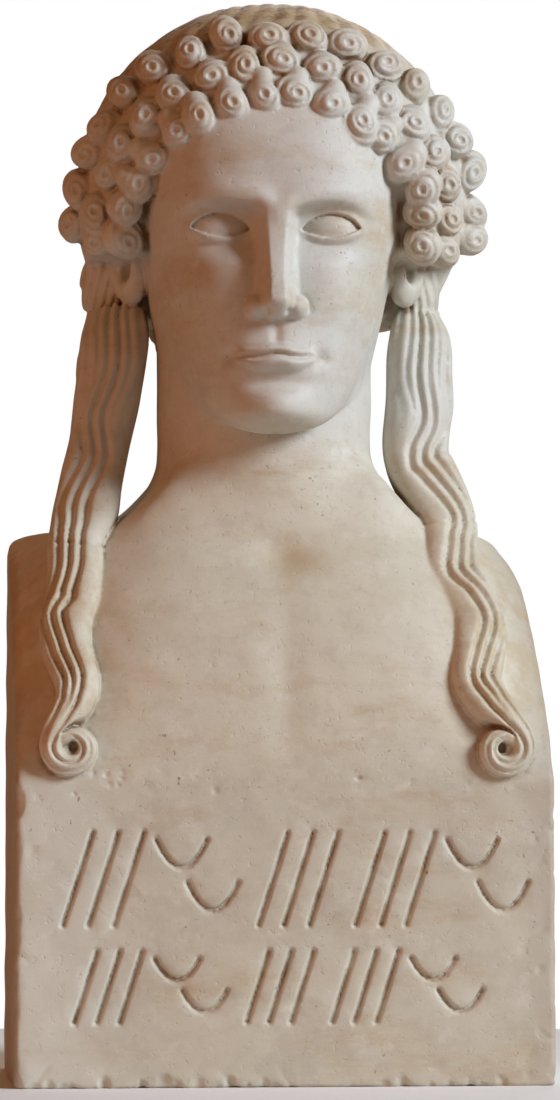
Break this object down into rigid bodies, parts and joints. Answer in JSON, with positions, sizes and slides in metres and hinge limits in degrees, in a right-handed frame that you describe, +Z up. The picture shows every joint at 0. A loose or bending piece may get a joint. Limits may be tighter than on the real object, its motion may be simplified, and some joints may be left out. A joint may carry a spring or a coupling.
{
  "type": "marble herm",
  "caption": "Marble herm: a calm head with drilled curls and two long locks, on a neck and a flat-backed block that stands on its underside.",
  "frame": {"origin": "centre of the block's underside", "axes": "+Z up, the face looks along -Y, +X to the viewer's right"},
  "size_m": [0.294, 0.2287, 0.613],
  "materials": {
    "marble": "honed white marble, weathered warm grey-beige, with brown dirt in the hollows"
  },
  "bodies": {
    "root": {"marble_herm": "marble"}
  },
  "joints": []
}
